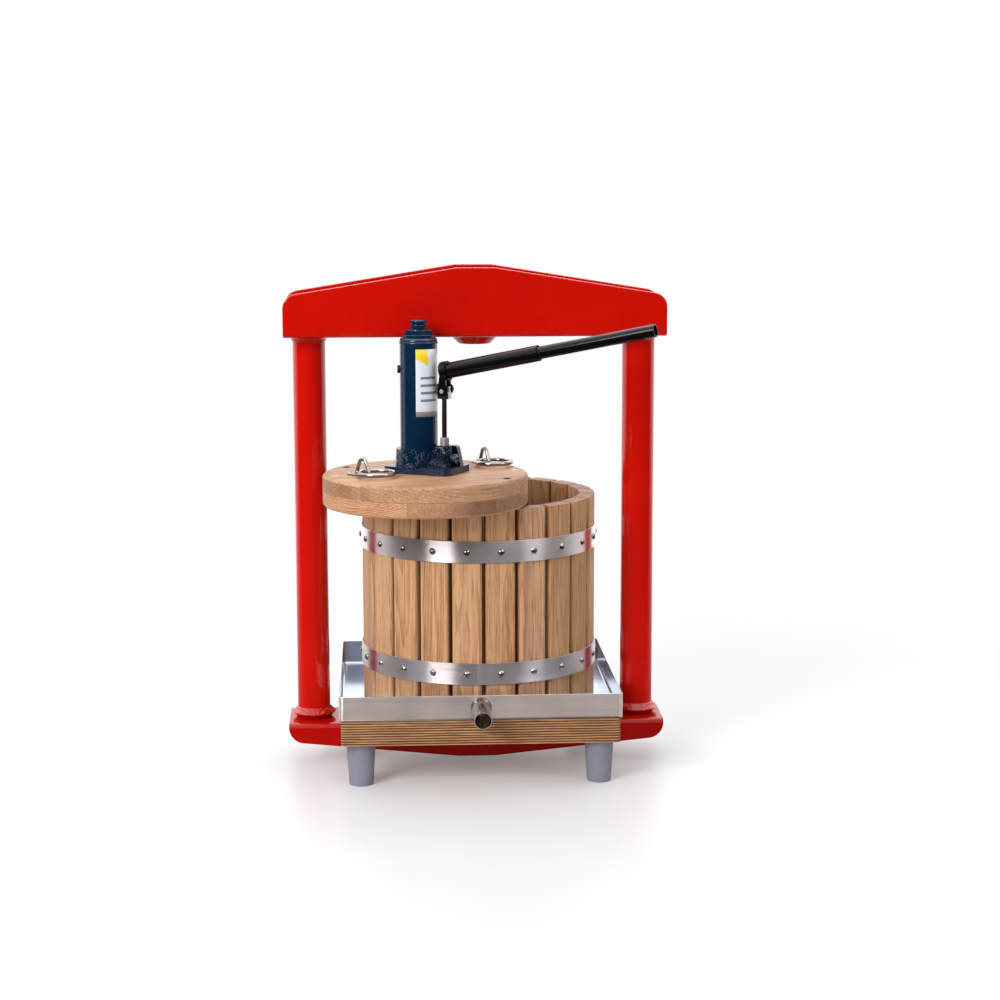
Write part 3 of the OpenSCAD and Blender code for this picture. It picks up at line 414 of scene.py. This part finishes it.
# The spout: a darker bore, painted shade, and a near-white end, a painted highlight.
spout_low, spout_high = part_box("spout")
tube_steel = steel("spout_steel", rgb(148, 141, 140), 0.14, ALONG_SPOUT, 0.0,
                   rim=rgb(250, 250, 252), middle=(spout_low + spout_high) / 2,
                   inside_shade=rgb(104, 96, 92))
screw_steel = steel("screw_steel", rgb(160, 156, 155), 0.27, ANY_WAY, 0.02)
zinc = steel("zinc", rgb(176, 176, 177), 0.45, ANY_WAY, 0.05)

OAK = rgb(209, 162, 119), rgb(158, 109, 72), rgb(100, 61, 36)
PLY_LAYERS = 19
stave_low, stave_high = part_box("staves")
stave_oak = oak("oak_staves", *OAK, middle=(stave_low + stave_high) / 2,
                outer=(stave_high.x - stave_low.x) / 2)
plate_oak = oak("oak_plate", *OAK, lie=math.radians(25), plank=0.075, ring=80, bands=0.28)
under_oak = oak("oak_plate_under", *OAK, lie=math.radians(-45), plank=0.09, ring=150, bands=0.5)
board_low, board_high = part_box("base_board")
plywood = ply("plywood", board_low.z, (board_high.z - board_low.z) / PLY_LAYERS)
grey = moulded("grey_plastic", rgb(136, 136, 150), rgb(126, 126, 139), 0.55, 0.12)
rubber = moulded("rubber", rgb(36, 36, 38), rgb(28, 28, 30), 0.6, 0.15)

# Each CAD node's material, and the width in millimetres to which its edges are broken
DRESS = {
    "upper_beam": (red, 1.1), "lower_beam": (red_with_painted_shade, 1.1), "left_upright": (red, 0),
    "right_upright": (red, 0), "upright_welds": (weld_red, 1.0), "ram_seat": (red, 0.8),
    "base_board": (plywood, 1.0), "board_bolts": (zinc, 0.4), "board_nuts": (zinc, 0.4),
    "foot_front_left": (grey, 0.8), "foot_front_right": (grey, 0.8),
    "foot_back_left": (grey, 0.8), "foot_back_right": (grey, 0.8), "foot_screws": (zinc, 0),
    "juice_tray": (tray_steel, 0.3), "spout": (tube_steel, 0), "staves": (stave_oak, 0.7),
    "lower_hoop": (hoop_steel_with_painted_shade, 0.25), "upper_hoop": (hoop_steel, 0.25),
    "hoop_screws": (screw_steel, 0), "plate_bottom_layer": (under_oak, 0),
    "plate_top_layer": (plate_oak, 0), "plate_screws": (zinc, 0.2),
    "left_pad_eye": (bright_steel, 0.3), "right_pad_eye": (bright_steel, 0.3),
    "pad_eye_screws": (screw_steel, 0), "left_ring": (bright_steel, 0),
    "right_ring": (bright_steel, 0), "jack_base": (cast, 1.2), "oil_tank": (blue, 0.6),
    "pressure_cylinder": (zinc, 0), "gland_nut": (blue, 0.6), "wiper_seal": (rubber, 0),
    "filler_plug": (rubber, 0.4), "pump_sleeve": (zinc, 0.4), "check_ball": (zinc, 0),
    "fulcrum_bracket": (black, 0.6), "fulcrum_pin": (zinc, 0.3), "ram": (bright_steel, 0),
    "ram_seal": (rubber, 0), "extension_screw": (blue, 0.5), "release_valve": (blue, 0.4),
    "pump_plunger": (bright_steel, 0.3), "plunger_seal": (rubber, 0),
    "handle_socket": (black, 0.8), "plunger_pin": (zinc, 0.3),
    "handle_lower_tube": (black, 0.35), "handle_upper_tube": (black, 0.3),
}
SAME_POINT = 0.000002
FLAT_ANGLE, EDGE_ANGLE = math.radians(0.4), math.radians(38)
EDGE_SEGMENTS = 3

for name, (material, edge) in DRESS.items():
    part = nodes[name]
    part.data.materials.clear()
    part.data.materials.append(material)
    if edge:
        weld = part.modifiers.new("weld", "WELD")
        weld.merge_threshold = SAME_POINT
        flat = part.modifiers.new("flat", "DECIMATE")
        flat.decimate_type = "DISSOLVE"
        flat.angle_limit = FLAT_ANGLE
        bevel = part.modifiers.new("edges", "BEVEL")
        bevel.width = edge * MM
        bevel.segments = EDGE_SEGMENTS
        bevel.limit_method = "ANGLE"
        bevel.angle_limit = EDGE_ANGLE
        normals = part.modifiers.new("normals", "WEIGHTED_NORMAL")
        normals.keep_sharp = True


def placed(name, mesh, material):
    """A new object of the scene with this mesh and material."""
    mesh.materials.append(material)
    piece = bpy.data.objects.new(name, mesh)
    scene.collection.objects.link(piece)
    return piece


# The jack's label: a thin curved sheet on the tank

tank_low, tank_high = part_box("oil_tank")
tank_mid = (tank_low + tank_high) / 2
TANK_R = 0.0219
LABEL_FROM, LABEL_TO = math.radians(-10), math.radians(81)
LABEL_LOW, LABEL_HIGH = tank_low.z + 0.0388, tank_low.z + 0.1165
LABEL_T, LABEL_GAP = 0.00018, 0.00003
LABEL_STEPS, LABEL_ROWS = 36, 8


def label_mesh():
    """The sheet: two curved faces, and a strip round their edge."""
    steps, rows = LABEL_STEPS, LABEL_ROWS
    verts, faces, uvs = [], [], []
    for layer in (0, 1):
        r = TANK_R + LABEL_GAP + layer * LABEL_T
        for j in range(rows + 1):
            for i in range(steps + 1):
                a = LABEL_FROM + (LABEL_TO - LABEL_FROM) * i / steps
                z = LABEL_LOW + (LABEL_HIGH - LABEL_LOW) * j / rows
                verts.append((tank_mid.x + r * math.sin(a), tank_mid.y - r * math.cos(a), z))
                uvs.append((i / steps, j / rows))
    span = steps + 1
    count = span * (rows + 1)
    for j in range(rows):
        for i in range(steps):
            a = j * span + i
            quad = (a, a + 1, a + 1 + span, a + span)
            faces.append(tuple(v + count for v in quad))
            faces.append(tuple(reversed(quad)))
    rim = list(range(span))
    rim += [span * j + steps for j in range(1, rows + 1)]
    rim += [span * rows + i for i in range(steps - 1, -1, -1)]
    rim += [span * j for j in range(rows - 1, 0, -1)]
    for a, b in zip(rim, rim[1:] + rim[:1]):
        faces.append((a, b, b + count, a + count))
    mesh = bpy.data.meshes.new("jack_label")
    mesh.from_pydata(verts, [], faces)
    layer = mesh.uv_layers.new(name="UVMap")
    for loop in mesh.loops:
        layer.data[loop.index].uv = uvs[loop.vertex_index]
    for face in mesh.polygons:
        face.use_smooth = face.index < 2 * steps * rows
    return mesh


# Places on the label, as shares of its width and height
CORNER_SLANT, CORNER_FROM, CORNER_END, FOOT_BAND = 0.25, 0.86, 0.42, 0.075
BARS, BAR_SHARE = 9.0, 0.34
BARS_LOW, BARS_HIGH, BARS_LEFT, BARS_RIGHT = 0.2, 0.62, 0.16, 0.8


def label_material():
    """A plain printed sheet: a pale field, a yellow corner with a slanted edge, and grey bars."""
    t = Material("jack_label", **{"IOR": 1.5, "Coat Weight": 0.4, "Coat Roughness": 0.08})
    u, v = t.split(t.add("TexCoord").outputs["UV"])[:2]
    paper = t.noise(t.coords(), scale=500, detail=3, rough=0.6)
    colour = t.mix(paper, rgb(229, 236, 246), rgb(218, 226, 238))
    slant = t.plus(v, t.times(u, CORNER_SLANT))
    corner = t.times(t.more(slant, CORNER_FROM), t.less(u, CORNER_END))
    colour = t.mix(corner, colour, rgb(247, 206, 22))
    colour = t.mix(t.less(v, FOOT_BAND), colour, rgb(150, 153, 160))
    bars = t.times(t.less(t.math("FRACT", t.times(v, BARS)), BAR_SHARE),
                   t.times(t.more(v, BARS_LOW), t.less(v, BARS_HIGH)))
    bars = t.times(bars, t.times(t.more(u, BARS_LEFT), t.less(u, BARS_RIGHT)))
    colour = t.mix(bars, colour, rgb(120, 124, 134))
    t.set(Base_Color=colour, Roughness=t.range(paper, 0.3, 0.7, 0.25, 0.4))
    t.set(Normal=t.bump(paper, 0.05, 0.0002))
    return t.mat


label = placed("jack_label", label_mesh(), label_material())
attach(label, "jack")


# The pad eyes: a foot plate and a wire bow with splayed legs, round which the ring swings

EYE_L, EYE_W, EYE_T, EYE_CORNER, EYE_EDGE = 0.042, 0.016, 0.002, 0.005, 0.0004
EYE_EDGE_SHARE, EYE_CORNER_STEPS = 0.3, 8
BOW_WIRE, BOW_FOOT, BOW_ARC, BOW_MID = 0.0022, 0.011, 0.0055, 0.0135
BOW_ARC_STEPS, BOW_LEG_STEPS, BOW_SIDES = 16, 4, 20
ACROSS = Vector((0, 1, 0))


def bow_path():
    """The bow's middle line, from foot to foot: legs that run into an arc."""
    drop = BOW_MID - EYE_T / 2
    start = math.acos(BOW_ARC / math.hypot(BOW_FOOT, drop)) - math.atan2(drop, BOW_FOOT)
    sweep = math.pi - 2 * start
    arc = [start + sweep * i / BOW_ARC_STEPS for i in range(BOW_ARC_STEPS + 1)]
    points = [Vector((BOW_ARC * math.cos(a), 0, BOW_MID + BOW_ARC * math.sin(a))) for a in arc]
    feet = [Vector((side * BOW_FOOT, 0, EYE_T / 2)) for side in (1, -1)]
    up = [feet[0].lerp(points[0], i / BOW_LEG_STEPS) for i in range(BOW_LEG_STEPS)]
    down = [points[-1].lerp(feet[1], i / BOW_LEG_STEPS) for i in range(1, BOW_LEG_STEPS + 1)]
    return up + points + down


def pad_eye(name, node, ring):
    """A pad eye in the place of a CAD node, turned towards its ring."""
    low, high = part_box(node)
    ring_low, ring_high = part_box(ring)
    middle = (low + high) / 2
    reach = (ring_low + ring_high) / 2 - middle
    turn = Matrix.Rotation(math.atan2(reach.y, reach.x), 4, "Z")
    place = Matrix.Translation((middle.x, middle.y, low.z)) @ turn
    verts, faces = [], []

    def loop(points):
        first = len(verts)
        verts.extend(points)
        return list(range(first, len(verts)))

    def body(loops):
        """Faces from loop to loop, and one at each end."""
        for a, b in zip(loops, loops[1:]):
            for i in range(len(a)):
                j = (i + 1) % len(a)
                faces.append((a[i], a[j], b[j], b[i]))
        faces.append(tuple(reversed(loops[0])))
        faces.append(tuple(loops[-1]))

    def outline(inset, z):
        r = EYE_CORNER - inset
        points = []
        for k, (sx, sy) in enumerate(((1, 1), (-1, 1), (-1, -1), (1, -1))):
            cx, cy = sx * (EYE_L / 2 - EYE_CORNER), sy * (EYE_W / 2 - EYE_CORNER)
            for i in range(EYE_CORNER_STEPS + 1):
                a = math.radians(90 * k + 90 * i / EYE_CORNER_STEPS)
                points.append(Vector((cx + r * math.cos(a), cy + r * math.sin(a), z)))
        return loop(points)

    round_off = EYE_EDGE * EYE_EDGE_SHARE
    body([outline(EYE_EDGE, 0), outline(0, EYE_EDGE), outline(0, EYE_T - EYE_EDGE),
          outline(round_off, EYE_T - round_off), outline(EYE_EDGE, EYE_T)])
    path = bow_path()
    wire = []
    for i, point in enumerate(path):
        along = (path[min(i + 1, len(path) - 1)] - path[max(i - 1, 0)]).normalized()
        out = ACROSS.cross(along)
        turns = [math.tau * k / BOW_SIDES for k in range(BOW_SIDES)]
        wire.append(loop([point + BOW_WIRE * (math.cos(a) * out + math.sin(a) * ACROSS)
                          for a in turns]))
    body(wire)
    mesh = bpy.data.meshes.new(name)
    mesh.from_pydata([place @ v for v in verts], [], faces)
    for face in mesh.polygons:
        face.use_smooth = len(face.vertices) == 4
    piece = placed(name, mesh, bright_steel)
    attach(piece, "press_plate")
    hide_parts(node)


pad_eye("left_eye_bow", "left_pad_eye", "left_ring")
pad_eye("right_eye_bow", "right_pad_eye", "right_ring")


# Stage, light and camera

FLOOR_HALF = 9
FLOOR_PALE, FLOOR_PALER = (0.86, 0.86, 0.88, 1), (0.88, 0.88, 0.9, 1)
FLOOR_FAR = (0.2, 0.2, 0.2, 1)
FADE_LEAST = 0.12


def floor_object():
    """A pale floor that fades to white behind and far out, and mirrors as a white sweep."""
    t = Material("floor", **{"Roughness": 0.35, "Specular IOR Level": 0.4})
    co = t.coords()
    cloud = t.noise(co, scale=0.8, detail=2)
    away = t.add("VectorMath", {0: co}, operation="LENGTH").outputs["Value"]
    near = t.mix(cloud, FLOOR_PALE, FLOOR_PALER)
    t.set(Base_Color=t.mix(t.range(away, 0.9, 1.5), near, FLOOR_FAR))
    depth = t.split(co)[Y]
    path = t.add("LightPath").outputs
    mirrored = t.math("MAXIMUM", path["Is Glossy Ray"], path["Is Transmission Ray"])
    fade = t.math("MAXIMUM", t.range(depth, -0.1, 1.2, FADE_LEAST, 1.0),
                  t.range(away, 0.55, 1.0, FADE_LEAST, 1.0))
    share = t.plus(t.times(fade, path["Is Camera Ray"]), mirrored, clamp=True)
    sweep = t.range(depth, -0.2, 1.2, 0.03, 1.4)
    level = t.plus(path["Is Camera Ray"], t.times(sweep, mirrored))
    glow = t.add("Emission", {"Color": WHITE, "Strength": level})
    both = t.add("MixShader", {0: share, 1: t.bsdf.outputs[0], 2: glow.outputs[0]})
    t.put(t.out.inputs["Surface"], both.outputs[0])
    half = FLOOR_HALF
    mesh = bpy.data.meshes.new("floor")
    corners = [(-half, -half, 0), (half, -half, 0), (half, half, 0), (-half, half, 0)]
    mesh.from_pydata(corners, [], [(0, 1, 2, 3)])
    return placed("floor", mesh, t.mat)


floor_object()

DIFFUSE_LEVEL, CAMERA_LEVEL = 0.26, 1.0


def world():
    """White to the camera. To glossy surfaces it is dark in front, and white behind and above."""
    studio = bpy.data.worlds.new("studio")
    studio.use_nodes = True
    scene.world = studio
    t = Nodes(studio.node_tree)
    path = t.add("LightPath").outputs
    way = t.split(t.add("TexCoord").outputs["Generated"])
    behind = t.range(way[Y], 0.05, 0.6, 0.04, 1.25)
    beside = t.range(t.size(way[X]), 0.7, 0.98, 0.0, 0.2)
    above = t.range(way[Z], 0.22, 0.6, 0.0, 1.9)
    glossy = t.plus(t.plus(behind, beside), above)
    seen = t.mix_level(path["Is Camera Ray"], glossy, CAMERA_LEVEL)
    level = t.mix_level(path["Is Diffuse Ray"], seen, DIFFUSE_LEVEL)
    back = t.add("Background", {"Color": WHITE, "Strength": level})
    t.add("OutputWorld", {"Surface": back.outputs[0]})


world()

# Each softbox: its name, place, aim, width and height in metres, and power in watts
SOFTBOXES = (
    ("key", (-1.7, -2.0, 1.55), (0, 0, 0.3), (1.2, 1.3), 61),
    ("fill", (2.2, -1.5, 1.6), (0, 0, 0.3), (1.0, 1.2), 12),
    ("top", (0, 0.2, 2.5), (0, 0, 0.2), (2.0, 1.6), 20),
)
for name, place, aim, size, watts in SOFTBOXES:
    light = bpy.data.lights.new(name, "AREA")
    light.shape = "RECTANGLE"
    light.size, light.size_y = size
    light.energy = watts
    lamp = bpy.data.objects.new(name, light)
    lamp.location = place
    lamp.rotation_euler = (Vector(aim) - Vector(place)).to_track_quat("-Z", "Y").to_euler()
    scene.collection.objects.link(lamp)

# The camera, fitted to the photograph's straight edges
SENSOR, LENS = 36, 79.33
YAW, PITCH, ROLL = math.radians(-3.20), math.radians(8.83), math.radians(-0.10)
CAMERA_X, CAMERA_Y, CAMERA_OVER_BOARD = -0.11585, -2.58258, 0.66905

camera = bpy.data.objects.new("camera", bpy.data.cameras.new("camera"))
scene.collection.objects.link(camera)
camera.data.sensor_width = SENSOR
camera.data.sensor_fit = "HORIZONTAL"
camera.data.lens = LENS
turn = Matrix.Rotation(YAW, 4, "Z") @ Matrix.Rotation(math.pi / 2 - PITCH, 4, "X")
turn = turn @ Matrix.Rotation(ROLL, 4, "Z")
place = Matrix.Translation((CAMERA_X, CAMERA_Y, board_low.z + CAMERA_OVER_BOARD))
camera.matrix_world = place @ turn
scene.camera = camera
scene.view_settings.view_transform = "Standard"
